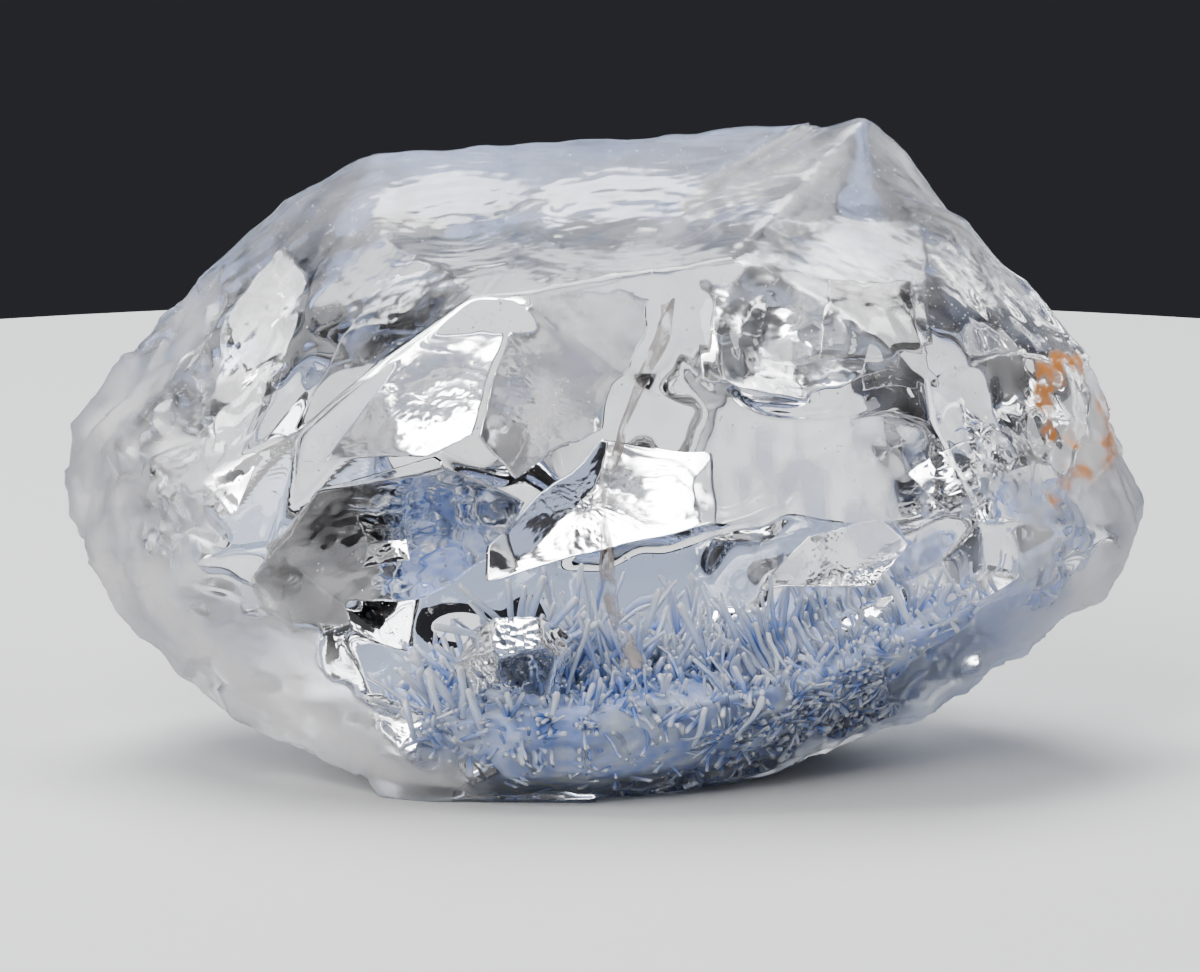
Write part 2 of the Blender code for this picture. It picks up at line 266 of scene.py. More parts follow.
def biting_balls():
    """Centres and radii of the balls that bit the scars and the chips of the rim out of the stone.

    A ball's centre lies outside the stone by its radius less the depth of its bite."""
    ways = facing(*SCARS[:, :2].T)
    met = plane_meets(ways)
    start = heart + ways * met.min(1)[:, None]
    centres = list(start + NORMALS[met.argmin(1)] * (SCARS[:, 2] - SCARS[:, 3])[:, None])
    radii = list(SCARS[:, 2])
    start, end, outward, _ = outline_ways()
    dice = random.Random(11)
    for first, last, count, smallest, largest, bite in CHIP_ROWS:
        for number in range(count):
            along = first + (last + 1 - first) * (number + dice.uniform(0.1, 0.9)) / count
            side = int(along)
            place = start[side] + (end[side] - start[side]) * (along % 1)
            place = place + AWAY * dice.uniform(-0.25, 0.25)
            radius = dice.uniform(smallest, largest)
            deep = bite * dice.uniform(0.5, 1.0) + 0.03 * radius
            centres.append(place + outward[side] * (radius - deep))
            radii.append(radius)
    return np.array(centres), np.array(radii)


CENTRES, RADII = biting_balls()


def ball_meets(ways):
    """How far along each way each ball is first met: u.c - sqrt((u.c)^2 - c.c + radius^2)."""
    apart = CENTRES - heart
    along = ways @ apart.T
    inside = along**2 - (apart**2).sum(1) + RADII**2
    met = along - np.sqrt(np.maximum(inside, 0))
    return np.where((inside > 0) & (along > 0), met, FAR)


def ledge_meets(ways):
    """Where a ray enters a ledge: the farther of its two walls.

    Both face the first way, one spread by 42 degrees towards the second way, one against it."""
    first = facing(LEDGES[:, 3], LEDGES[:, 4])
    side = unit(np.cross(first, UP))
    roll = np.radians(LEDGES[:, 5])[:, None]
    second = side * np.cos(roll) + np.cross(first, side) * np.sin(roll)
    wide = np.tan(np.radians(LEDGE_SPREAD))
    walls = np.stack([unit(first + second * wide), unit(first - second * wide)], 1)
    far = ((seen(*LEDGES[:, :3].T) - heart)[:, None] * walls).sum(-1)
    return meets(far, np.einsum("ni,lwi->nlw", ways, walls)).max(-1)


def reach(ways):
    """How far the skin lies along each way: the soft minimum of planes, balls and ledges."""
    met = np.concatenate([plane_meets(ways), ball_meets(ways), ledge_meets(ways)], axis=1)
    return soft_least(met, SKIN_SHARPNESS)


def sealed(places, margin=0.4):
    """Places that lie farther from the heart than the skin less a margin, drawn back to there."""
    kept = []
    for part in np.array_split(places.reshape(-1, 3), 24):
        apart = part - heart
        far = np.linalg.norm(apart, axis=1)
        most = reach(apart / far[:, None]) - margin
        kept.append(heart + apart * np.minimum(1, most / far)[:, None])
    return np.concatenate(kept).reshape(places.shape)


print("planes:", len(PLACES), "balls:", len(RADII), "ledges:", len(LEDGES))

# %% [markdown]
# ## The skin
# A cube's grid is drawn out to the stone: its points lie evenly, and it has no poles. A sphere of
# rings would crowd its points at both ends. The finer breaks are worn into the skin along the same
# ways and never outward: swells, the ripples of a shell-shaped break, and small steps at the ends.
# How matt each point is goes with the mesh as a value, which the material reads later.

# %% The skin as a cube drawn out to the stone
SKIN_SQUARES = 128
STONE_STRETCH = (1.0, 0.56, 0.62)
RIPPLES = ((37, 44, 0.62), (121, 19, 0.5), (86, 27, 0.55), (5, 18, 0.5))
SMALL_BREAKS, BREAK_DEPTH = 450, 0.13
LOWER_LEFT = ((-5.6, 0.0), (-14.0, 7.0))
LOWER_RIGHT = ((14.0, 6.4), (4.0, 0.2))


def cube_grid(count):
    """Points on a cube, count squares to a side, joined at its seams, and its squares facing out.

    The lines lie at tan(angle) for even angles, so that the squares stay alike on a sphere."""
    s = np.tan(np.linspace(-1, 1, count + 1) * np.pi / 4)
    u, v = np.meshgrid(s, s, indexing="ij")
    one = np.ones_like(u)
    sides = [(one, u, v), (-one, v, u), (v, one, u), (u, -one, v), (u, v, one), (v, u, -one)]
    points = np.concatenate([np.stack(side, -1).reshape(-1, 3) for side in sides])
    k, square = grid_squares(count + 1, count + 1)
    squares = np.concatenate([square + side * k.size for side in range(6)])
    rounded = np.round(points * 1e5)
    _, kept, joined = np.unique(rounded, axis=0, return_index=True, return_inverse=True)
    return points[kept], joined.reshape(-1)[squares]


def from_line(right, up, line):
    """How far a seen place lies inside a line of the view that runs clockwise around the stone."""
    (x0, y0), (x1, y1) = line
    length = math.hypot(x1 - x0, y1 - y0)
    return ((right - x0) * (y1 - y0) - (up - y0) * (x1 - x0)) / length


def frost(places):
    """How matt the skin is, 0 to 1: both ends, the lower left band, lower right rim and top."""
    right, up, _ = view_of(places)
    wander = field(places, 3.0, 5) * 1.1 + field(places, 0.9, 6) * 0.45
    left_end = step(-9.6, -12.2, right + wander)
    right_end = step(11.6, 13.4, right + wander)
    band = step(2.1, 0.9, from_line(right, up, LOWER_LEFT) + wander * 0.6)
    rim = step(0.7, 0.1, from_line(right, up, LOWER_RIGHT) + wander * 0.4)
    top = step(11.6, 14.2, up + wander * 0.6) * 0.34
    return np.clip(np.maximum.reduce([left_end * 0.8, right_end * 0.8, band, rim, top]), 0, 1)


def facets(places, count, tilt, seed):
    """How deep small flat breaks lie: each place follows the tilted plane of the nearest spot.

    The depth is tilt (1 + (place - spot).way), which is flat around a spot and steps at borders."""
    dice = np.random.default_rng(seed)
    spots = places[dice.integers(len(places), size=count)]
    ways = unit(dice.normal(size=(count, 3)))
    nearest = np.empty(len(places), dtype=int)
    for rows in np.array_split(np.arange(len(places)), 24):
        apart = places[rows, None] - spots
        nearest[rows] = (apart**2).sum(-1).argmin(1)
    lean = ((places - spots[nearest]) * ways[nearest]).sum(1)
    return tilt * np.clip(1 + lean, 0, 2.5)


def weathered(places, matt):
    """How deep the finer breaks go below the flat ones, never outward: swells, ripples, hackles.

    Ripples are 1 + sin of the distance from the spot where a scar began, over their length."""
    swell = 0.05 * (1 + field(places, 5.5, 21)) + 0.016 * (1 + field(places, 1.7, 22))
    ripple = np.zeros(len(places))
    for bearing, turn, length in RIPPLES:
        spot = heart + facing(bearing, turn) * 8.0
        apart = np.linalg.norm(places - spot, axis=1) + 0.1 * field(places, 1.5, 23)
        ripple += 0.012 * (1 + np.sin(2 * np.pi * apart / length)) * step(4.2, 2.0, apart)
    hackle = 1 - np.abs(field(places * (1, 1, 0.6), 0.55, 24))
    broken = facets(places, SMALL_BREAKS, BREAK_DEPTH, 26)
    broken = broken * step(0.1, 0.6, matt) * step(14.0, 12.0, view_of(places)[1])
    return swell + ripple + broken + matt * (0.04 * hackle**2 + 0.02 * (1 + field(places, 0.3, 25)))


def quartz_skin():
    """The whole skin: heart + u (reach - deep), where deep fades out at the flat foot."""
    points, squares = cube_grid(SKIN_SQUARES)
    ways = unit(points * STONE_STRETCH)
    far = reach(ways)
    flat = heart + ways * far[:, None]
    matt = frost(flat)
    deep = weathered(flat, matt) * (1 - step(0.25, 0.0, flat[:, 2]))
    return heart + ways * (far - deep)[:, None], squares, matt


skin_places, skin_squares, skin_matt = quartz_skin()
quartz = solid(
    "quartz", skin_places, skin_squares, "quartz", ("quartz_front", "quartz_back"), frost=skin_matt
)

# %% [markdown]
# ## What the stone is made of
# Clear quartz has an index of 1.544. Where it is frosted the roughness goes up. Its faint bluish
# tint is in the base colour: an absorbing volume would be truer and takes twice as long to render.
# Small functions make shader nodes, so that each material below is a few lines.

# %% Shader helpers and the quartz
QUARTZ_INDEX = 1.544


def plug(tree, socket, value):
    """Links a socket to a node's output, or sets it to a constant."""
    if isinstance(value, bpy.types.NodeSocket):
        tree.links.new(value, socket)
    else:
        socket.default_value = value


def add(tree, kind, inputs=None, **settings):
    """A node of that kind, its settings made and its inputs set or linked."""
    node = tree.nodes.new(kind)
    for key, value in settings.items():
        setattr(node, key, value)
    for key, value in (inputs or {}).items():
        plug(tree, node.inputs[key], value)
    return node


def attribute(tree, name):
    """A value that the mesh keeps per point."""
    return add(tree, "ShaderNodeAttribute", attribute_name=name).outputs["Fac"]


def blend(tree, share, first, second):
    """A colour between first and second by share."""
    inputs = {0: share, 6: first, 7: second}
    return add(tree, "ShaderNodeMix", inputs, data_type="RGBA").outputs[2]


def ramp(tree, value, low, high, to_low=0.0, to_high=1.0):
    """Maps value from low..high to to_low..to_high, and holds it there."""
    inputs = {"Value": value, "From Min": low, "From Max": high}
    inputs.update({"To Min": to_low, "To Max": to_high})
    return add(tree, "ShaderNodeMapRange", inputs).outputs[0]


def new_material(name):
    """An empty material with a Principled shader, and its node tree."""
    made = bpy.data.materials.new(name)
    made.use_nodes = True
    return made, made.node_tree


def shade(material, sockets):
    """The material once those sockets of its Principled shader are set or linked."""
    tree = material.node_tree
    for key, value in sockets.items():
        plug(tree, tree.nodes["Principled BSDF"].inputs[key], value)
    print(f"{material.name}: {len(tree.nodes)} shader nodes")
    return material


def quartz_material():
    """Glass of quartz's index whose roughness is 0 where clear and 0.5 where frosted."""
    material, tree = new_material("quartz")
    return shade(material, {
        "Base Color": (0.965, 0.972, 0.99, 1),
        "Transmission Weight": 1.0,
        "IOR": QUARTZ_INDEX,
        "Roughness": ramp(tree, attribute(tree, "frost"), 0, 1, 0.0, 0.5),
    })


quartz.data.materials.append(quartz_material())

# %% [markdown]
# ## Cracks inside
# A crack is a thin gap full of gas. Quartz bends light 1.544 times as much as gas, so seen from
# within the stone the gap's index is 1 / 1.544, and it mirrors all light that meets it aslant.
# The cracks stand at about 45 degrees to the eye and show the light from above: the white windows.
# Each is a closed lens: rings from its middle out to a many-cornered rim, two sheets a hair apart.
# A painted white patch would be easier to make, but it wouldn't flash when the stone is turned.

# %% Crack sheets
CRACK_GAP, CRACK_RINGS, CRACK_SPOKES = 0.025, 30, 160
CRACKS = [
    # name, corners in the picture, depth, bearing, turn, seed, bulge, waver, raggedness
    ("upper", [(325, 462), (420, 330), (522, 316), (480, 436), (430, 458)],
     -1.5, 96, 44, 41, 0.004, 0.007, 0.02),
    ("grey", [(484, 438), (526, 318), (640, 326), (612, 428), (524, 480)],
     -1.8, 58, 46, 48, 0.006, 0.006, 0.02),
    ("middle", [(490, 582), (492, 548), (610, 440), (702, 446), (704, 520)],
     -2.2, 86, 46, 42, -0.004, 0.004, 0.02),
    ("right", [(750, 592), (800, 535), (880, 518), (907, 545), (872, 592)],
     -2.6, 92, 44, 43, 0.006, 0.006, 0.02),
    ("low", [(300, 690), (400, 676), (442, 700), (405, 782)],
     -3.4, 98, 46, 44, 0.004, 0.006, 0.02),
    ("lens", [(262, 566), (318, 490), (420, 455), (530, 506), (505, 556), (420, 596), (316, 600)],
     -3.6, 280, 36, 49, 0.004, 0.014, 0.02),
    ("wedge", [(366, 566), (374, 532), (408, 528), (414, 560)],
     -3.6, 90, 46, 46, 0.0, 0.02, 0.02),
    ("flash", [(243, 690), (262, 664), (290, 668), (286, 690)],
     -3.2, 88, 46, 45, 0.0, 0.02, 0.02),
    ("shoulder", [(206, 470), (240, 330), (300, 268), (330, 300), (300, 420), (240, 520)],
     -1.2, 118, 42, 50, 0.01, 0.02, 0.02),
    ("window", [(690, 392), (684, 300), (760, 262), (900, 258), (912, 380), (800, 414)],
     -1.6, 74, 40, 55, 0.012, 0.012, 0.02),
    ("dark", [(818, 364), (822, 294), (906, 290), (914, 368)],
     -3.6, 67, 50, 56, 0.0, 0.02, 0.06),
    ("dark_low", [(862, 404), (864, 372), (914, 366), (910, 400)],
     -3.4, 63, 50, 57, 0.0, 0.015, 0.06),
    ("streak", [(696, 344), (700, 302), (760, 308), (754, 344)],
     -3.6, 71, 49, 58, 0.0, 0.02, 0.08),
    ("feather", [(905, 470), (955, 436), (1030, 452), (1020, 500), (950, 512)],
     -2.6, 70, 48, 47, 0.0, 0.03, 0.05),
]


def gap_material():
    """A gas-filled gap in quartz: glass of the inverse index."""
    material, _ = new_material("gas_gap")
    return shade(material, {
        "Base Color": (1, 1, 1, 1),
        "Transmission Weight": 1.0,
        "IOR": 1 / QUARTZ_INDEX,
        "Roughness": 0.04,
    })


def rim_of(corners, count, seed, ragged):
    """The middle of a many-cornered sheet, and its rim around that: along each way the nearest
    edge, times 1 + ragged waves whose height falls with their number."""
    corners = np.array(corners, dtype=float)
    middle = corners.mean(0)
    angle = np.linspace(0, 2 * np.pi, count, endpoint=False)
    way = np.stack([np.cos(angle), np.sin(angle)], -1)
    edge = np.roll(corners, -1, axis=0) - corners
    normal = np.stack([edge[:, 1], -edge[:, 0]], -1)
    normal *= np.sign(((corners - middle) * normal).sum(1))[:, None]
    far = ((corners - middle) * normal).sum(1)
    nearest = meets(far, way @ normal.T).min(1)
    dice = np.random.default_rng(seed)
    waver = sum(
        dice.uniform(-1, 1) / k**0.8 * np.sin(k * angle + dice.uniform(0, 6.28))
        for k in range(3, 30)
    )
    return middle, way * (nearest * (1 + ragged * waver))[:, None]


def crack(name, corners, depth, bearing, turn, seed, bulge, waver, ragged):
    """A closed thin lens in the plane through the corners' middle that faces (bearing, turn).

    The sheet swells by random fields less bulge times the distance squared; half its thickness is
    sqrt(1 - share^2), with the share of the way out to the rim, where both sheets meet."""
    count = CRACK_SPOKES
    middle, rim = rim_of(seen_px(corners), count, seed, ragged)
    share = np.linspace(0, 1, CRACK_RINGS + 1)[1:]
    flat = np.concatenate([np.zeros((1, 2)), (share[:, None, None] * rim).reshape(-1, 2)])
    normal = facing(np.float64(bearing), np.float64(turn))
    lean = flat @ np.array([normal @ RIGHT, normal @ UP]) / -(normal @ AWAY)
    base = seen(middle[0] + flat[:, 0], middle[1] + flat[:, 1], depth + lean)
    away = np.concatenate([[0], np.repeat(share, count)])
    swell = waver * field(base, 1.6, seed) + waver * 0.25 * field(base, 0.5, seed + 1)
    swell += 0.0012 * field(base, 0.16, seed + 2)
    swell -= bulge * (flat**2).sum(1)
    base = base + normal * swell[:, None]
    half = normal * (CRACK_GAP / 2 * np.sqrt(1.0001 - away**2))[:, None]
    rim_free = len(base) - count
    places = np.concatenate([base + half, (base - half)[:rim_free]])
    under = np.arange(len(base))
    under[:rim_free] += len(base)
    here, there = np.arange(count), (np.arange(count) + 1) % count
    ring = np.stack([here, here + count, there + count, there], 1) + 1
    quads = np.concatenate([ring + k * count for k in range(CRACK_RINGS - 1)])
    fan = np.stack([here * 0, 1 + here, 1 + there], 1)
    faces = quads.tolist() + fan.tolist()
    faces += under[quads][:, ::-1].tolist() + under[fan][:, ::-1].tolist()
    solid(f"crack_{name}", sealed(places), faces, "quartz").data.materials.append(gap_look)


gap_look = gap_material()
for row in CRACKS:
    crack(*row)

# %% [markdown]
# ## Swarms of small cracks
# At both ends the stone glitters with cracks too small to place one by one. Each is an
# eight-cornered lens that faces a random way, and all lenses of a swarm are one mesh.

# %% Swarms
SWARM_SIDES = 8


def sparks(name, low, high, depths, count, size, seed):
    """A swarm of flat lenses between two corners of the picture: a ring around each spot, across
    cos(angle) + 0.6 other sin(angle), and a pole on either side."""
    dice = np.random.default_rng(seed)
    (x0, y0), (x1, y1) = seen_px([low, high])
    right, up = dice.uniform(x0, x1, count), dice.uniform(y1, y0, count)
    spots = seen(right, up, dice.uniform(*depths, count))
    across = unit(dice.normal(size=(count, 3)))
    other = unit(np.cross(across, dice.normal(size=(count, 3))))
    normal = np.cross(across, other)
    angle = np.arange(SWARM_SIDES) * 2 * np.pi / SWARM_SIDES
    radius = size * dice.uniform(0.3, 1.0, (count, 1, 1))
    radius = radius * dice.uniform(0.6, 1.0, (count, SWARM_SIDES, 1))
    ring = across[:, None] * np.cos(angle)[:, None] + 0.6 * other[:, None] * np.sin(angle)[:, None]
    rim = spots[:, None] + ring * radius
    poles = spots[:, None] + normal[:, None] * np.array([0.012, -0.012])[:, None]
    places = np.concatenate([rim, poles], axis=1)
    here = np.arange(SWARM_SIDES)
    there = (here + 1) % SWARM_SIDES
    top = np.stack([here, there, here * 0 + SWARM_SIDES], 1)
    bottom = np.stack([there, here, here * 0 + SWARM_SIDES + 1], 1)
    faces = repeated(np.concatenate([top, bottom]), count, places.shape[1])
    made = solid(name, sealed(places).reshape(-1, 3), faces, "quartz", smooth=False)
    made.data.materials.append(gap_look)


sparks("sparks_left", (150, 455), (215, 570), (-3.2, -1.5), 90, 0.40, 51)
sparks("sparks_right", (910, 430), (1030, 520), (-3.6, -1.5), 70, 0.32, 52)

# %% [markdown]
# ## Haze and stain
# The stone goes milky towards both ends and its top, a lilac curtain hangs right of the middle, and
# rust has crept in at the right end. All three are one sheet, the skin drawn in by half a
# millimetre. Its points keep how thick, rusty and lilac it is, and the material turns these into
# opacity and colour. A volume of fog would be truer, but it is slow and full of noise.

# %% The haze sheet
HAZE_IN, HAZE_SQUARES = 0.48, 120
HAZE_MILKY, HAZE_LILAC = (0.82, 0.80, 0.79, 1), (0.62, 0.69, 0.92, 1)
HAZE_RUST = (0.80, 0.33, 0.10, 1)
STAIN = [
    (1042, 418), (1040, 380), (1070, 352), (1096, 372),
    (1110, 405), (1104, 455), (1082, 484), (1054, 496),
]
STAIN_INNER = [(1050, 430), (1066, 452), (1078, 470)]


def near_path(right, up, path):
    """How far each seen place lies from a path of the picture: the nearest of its stretches."""
    path = seen_px(path)
    nearest = np.full(right.shape, FAR)
    for (x0, y0), (x1, y1) in zip(path[:-1], path[1:]):
        long, tall = x1 - x0, y1 - y0
        along = ((right - x0) * long + (up - y0) * tall) / (long**2 + tall**2)
        along = np.clip(along, 0, 1)
        apart = np.hypot(right - x0 - along * long, up - y0 - along * tall)
        nearest = np.minimum(nearest, apart)
    return nearest


def cloudiness(places):
    """How thick the haze is, 0 to 0.8: both ends, the top and the lower left band, cloudy all over
    and thin at the back."""
    right, up, depth = view_of(places)
    cloud = 0.5 + 0.5 * field(places, 2.2, 96) + 0.3 * field(places, 0.7, 97)
    ends = step(7.5, 12.2, np.abs(right + 0.2) + 0.7 * field(places, 3.0, 98))
    top = step(10.4, 14.6, up + 0.8 * field(places, 3.0, 99))
    inward = from_line(right, up, LOWER_LEFT) + 0.5 * field(places, 2.0, 90)
    band = step(2.6, 0.8, inward)
    middle = step(6.5, 10.5, up) * 0.12
    thick = np.maximum.reduce([0.42 * ends, 0.20 * top, 0.60 * band, middle])
    thick = thick * (0.2 + 1.2 * np.clip(cloud, 0, 1.2))
    thick = np.clip(np.maximum(thick, curtain(places)), 0, 0.8)
    return thick * (1 - 0.7 * step(-0.5, 2.5, depth))


def curtain(places):
    """A thin lilac curtain right of the middle, in strands that hang down: 0 to 0.5."""
    right, up, _ = view_of(places)
    inside = step(1.6, 3.2, right) * step(11.2, 8.6, right) * step(4.6, 6.4, up)
    inside = inside * step(10.6, 8.8, up)
    hanging = field(places * (1, 1, 0.22), 0.6, 101) + 0.6 * field(places, 1.4, 102)
    return 0.5 * inside * step(-0.35, 0.75, hanging)


def staining(places):
    """How rusty the haze is: near the stain's loop and its inner streak, in front, in patches."""
    right, up, depth = view_of(places)
    fine = 0.55 + 0.45 * step(-0.4, 0.4, field(places, 0.3, 88))
    patchy = step(-0.5, 0.35, field(places, 0.8, 87)) * fine
    loop = step(0.5, 0.1, near_path(right, up, STAIN) + 0.15 * field(places, 0.9, 89))
    inner = step(0.5, 0.1, near_path(right, up, STAIN_INNER))
    return np.clip(1.4 * np.maximum(loop, inner) * patchy, 0, 1) * (depth < 0)


def haze_sheet():
    """The skin drawn in by HAZE_IN, with its thickness, rust and lilac per point."""
    points, squares = cube_grid(HAZE_SQUARES)
    ways = unit(points * STONE_STRETCH)
    places = heart + ways * (reach(ways) - HAZE_IN)[:, None]
    rusty = staining(places)
    thick = np.maximum(cloudiness(places), 0.95 * rusty)
    lilac = 2 * curtain(places) * (1 - rusty)
    return solid("haze", places, squares, "quartz", haze=thick, rusty=rusty, lilac=lilac)


def haze_material():
    """Matt white, lilac or rust, as opaque as the sheet is thick."""
    material, tree = new_material("haze")
    milky = blend(tree, attribute(tree, "lilac"), HAZE_MILKY, HAZE_LILAC)
    return shade(material, {
        "Base Color": blend(tree, attribute(tree, "rusty"), milky, HAZE_RUST),
        "Alpha": attribute(tree, "haze"),
        "Roughness": 0.9,
        "Specular IOR Level": 0.0,
    })


haze_sheet().data.materials.append(haze_material())

# %% [markdown]
# ## Milk
# Healed cracks leave clouds of tiny pockets, which scatter light and look like milk. Here they are
# thousands of four-sided specks, thrown at random and kept where the milk is thick. They cost
# little to render and give the haze some depth.

# %% Milk specks
MILK_LOW, MILK_HIGH = (-14, -8, 0), (14, 8, 16)
MILK_TRIES = 14
MILK_MARGIN = 0.35


def density(places):
    """How thick the milk is: clouds at both ends and below the top, streaks all through."""
    right, up, _ = view_of(places)
    ends = step(7.6, 12.8, np.abs(right + 0.3) + 1.6 * field(places, 4.0, 91))
    streaks = step(0.45, 1.0, field(places * (1, 0.7, 1.6), 1.9, 92))
    top = step(12.0, 15.0, up + 1.5 * field(places, 3.0, 93))
    cloudy = 0.35 + 0.65 * step(-0.3, 0.6, field(places, 1.3, 94))
    return ends * cloudy + 0.16 * streaks + 0.22 * top


def turned(quaternions, corners):
    """The corners turned by each unit quaternion, through its rotation matrix."""
    w, x, y, z = quaternions.T
    rows = np.stack([
        np.stack([1 - 2 * (y * y + z * z), 2 * (x * y - z * w), 2 * (x * z + y * w)], -1),
        np.stack([2 * (x * y + z * w), 1 - 2 * (x * x + z * z), 2 * (y * z - x * w)], -1),
        np.stack([2 * (x * z - y * w), 2 * (y * z + x * w), 1 - 2 * (x * x + y * y)], -1),
    ], 1)
    return np.einsum("nij,kj->nki", rows, corners)


def milk(name, count, low, high, seed):
    """Tiny four-sided specks where the milk is thick, all inside the skin, sizes low to high."""
    dice = np.random.default_rng(seed)
    tries = dice.uniform(MILK_LOW, MILK_HIGH, (count * MILK_TRIES, 3))
    keep = dice.uniform(size=len(tries)) < density(tries)
    tries = tries[keep]
    far = np.linalg.norm(tries - heart, axis=1)
    inside = far < reach((tries - heart) / far[:, None]) - MILK_MARGIN
    spots = tries[inside][:count]
    size = low + (high - low) * dice.uniform(size=(len(spots), 1, 1)) ** 2.5
    corner = unit(np.array([(1, 1, 1), (1, -1, -1), (-1, 1, -1), (-1, -1, 1)], dtype=float))
    places = spots[:, None] + turned(unit(dice.normal(size=(len(spots), 4))), corner) * size
    one = np.array([(0, 1, 2), (0, 3, 1), (0, 2, 3), (1, 3, 2)])
    faces = repeated(one, len(spots), len(corner))
    return solid(name, places.reshape(-1, 3), faces, "quartz", smooth=False)


milk_look = shade(new_material("milk")[0], {"Base Color": (0.95, 0.94, 0.94, 1), "Roughness": 0.7})
milk("milk", 12000, 0.016, 0.05, 95).data.materials.append(milk_look)

# %% [markdown]
# ## The standing crack
# A narrow tan band runs down through the middle of the stone: a crack seen nearly edge-on, with
# dust on it. It is a path of the picture drawn back into the stone, as two sheets that meet at
# their edges. A noise makes it patchy. The bed's material has the same noise with other numbers, so
# it is a node group, which both materials use and which gives only the varying value.

# %% A noise for two materials
def cloud_group():
    """A node group: noise in object space, mapped from Low..High to 0..Most."""
    group = bpy.data.node_groups.new("cloud", "ShaderNodeTree")
    group.interface.new_socket("Shift", in_out="INPUT", socket_type="NodeSocketVector")
    for key in ("Scale", "Detail", "Low", "High", "Most"):
        group.interface.new_socket(key, in_out="INPUT", socket_type="NodeSocketFloat")
    group.interface.new_socket("Value", in_out="OUTPUT", socket_type="NodeSocketFloat")
    given = group.nodes.new("NodeGroupInput").outputs
    place = add(group, "ShaderNodeTexCoord").outputs["Object"]
    place = add(group, "ShaderNodeMapping", {"Vector": place, "Location": given["Shift"]})
    inputs = {"Vector": place.outputs[0], "Scale": given["Scale"], "Detail": given["Detail"]}
    noise = add(group, "ShaderNodeTexNoise", inputs).outputs[0]
    value = ramp(group, noise, given["Low"], given["High"], 0.0, given["Most"])
    add(group, "NodeGroupOutput", {"Value": value})
    return group


def cloud(tree, scale, detail, low, high, most=1.0, shift=(0, 0, 0)):
    """The group's value in a material, with its numbers set."""
    inputs = {"Scale": scale, "Detail": detail, "Low": low, "High": high, "Most": most}
    inputs["Shift"] = shift
    return add(tree, "ShaderNodeGroup", inputs, node_tree=cloud_nodes).outputs["Value"]


cloud_nodes = cloud_group()
print("node group:", cloud_nodes.name, "with", len(cloud_nodes.nodes), "nodes")

# %% The tan ribbon
RIBBON_STEPS, RIBBON_ROWS, RIBBON_THICK = 90, 12, 0.03
RIBBON_PATH = [(662, 300), (650, 350), (618, 430), (601, 490), (600, 560), (610, 620), (624, 668)]
RIBBON_WIDTHS = (0.36, 0.32, 0.25, 0.4, 0.5)
RIBBON_DEPTHS = (-5.9, -4.7)


def smoothed(values, kernel):
    """A row of values, each replaced by the weighted mean of its neighbours."""
    return np.convolve(np.pad(values, len(kernel) // 2, "edge"), kernel, "valid")


def ribbon(name, path, widths, depths, seed):
    """A thin closed sheet that stands nearly edge-on: the path drawn back into the stone, its far
    edge shifted by the width there. Its thickness is sin(pi share), so that the sheets meet."""
    path = seen_px(path)
    knots = np.linspace(0, 1, len(path))
    t = np.linspace(0, 1, RIBBON_STEPS)
    up = np.interp(t, knots, path[:, 1])
    kernel = np.hanning(9) / np.hanning(9).sum()
    wander = np.random.default_rng(seed).normal(size=RIBBON_STEPS)
    right = smoothed(np.interp(t, knots, path[:, 0]), kernel) + smoothed(wander, kernel) * 0.05
    wide = np.interp(t, np.linspace(0, 1, len(widths)), widths)
    share = np.linspace(0, 1, RIBBON_ROWS)[:, None]
    ends = np.sin(np.pi * np.clip(t, 0.004, 0.996)) ** 0.25
    depth = depths[0] + (depths[1] - depths[0]) * share * ends
    across = right + wide * share + 0.05 * np.sin(t * 23 + share * 5)
    body = seen(across, up + 0 * share, depth)
    thick = RIBBON_THICK * np.sin(np.pi * np.clip(share, 0.001, 0.999)) * ends
    half = RIGHT * thick[..., None] / 2
    places = np.concatenate([(body - half).reshape(-1, 3), (body + half).reshape(-1, 3)])
    k, quads = grid_squares(RIBBON_ROWS, RIBBON_STEPS)
    loop = np.concatenate([k[0, :-1], k[:-1, -1], k[-1, :0:-1], k[:0:-1, 0]])
    after = np.roll(loop, -1)
    seam = np.stack([loop, after, after + k.size, loop + k.size], 1)
    faces = np.concatenate([quads, quads[:, ::-1] + k.size, seam])
    return solid(name, sealed(places), faces, "quartz")


def tan_material():
    """Tan dust in patches: the opacity is the cloud, up to 0.7."""
    material, tree = new_material("tan_crack")
    return shade(material, {
        "Base Color": (0.74, 0.66, 0.59, 1),
        "Roughness": 0.8,
        "Specular IOR Level": 0.1,
        "Alpha": cloud(tree, 1700, 6, 0.38, 0.60, 0.7, (0.3, 0.3, 0)),
    })


standing = ribbon("standing_crack", RIBBON_PATH, RIBBON_WIDTHS, RIBBON_DEPTHS, 71)
standing.data.materials.append(tan_material())

# %% [markdown]
# ## The silvery block
# Low in the middle sits a small bubble with flat walls that shines like metal. It is a hollow in
# the quartz, so it has the material of the gaps, and it mirrors the lights all by itself.
# Its shape is made like the stone's: the soft minimum of eleven planes around a middle.

# %% The silvery block
BLOCK_SQUARES, BLOCK_SHARPNESS = 22, 60
BLOCK_MIDDLE, BLOCK_DEPTH = (516, 657), -4.7
BLOCK_WALLS = np.array([
    # bearing, turn, distance from the block's middle
    (145, 30, 0.95), (95, 50, 0.80), (40, 35, 1.10), (335, 20, 1.20),
    (262, 35, 0.95), (205, 45, 1.00), (300, 62, 0.85), (90, -40, 0.7),
    (270, -50, 0.8), (180, -60, 0.8), (0, -60, 0.9),
])


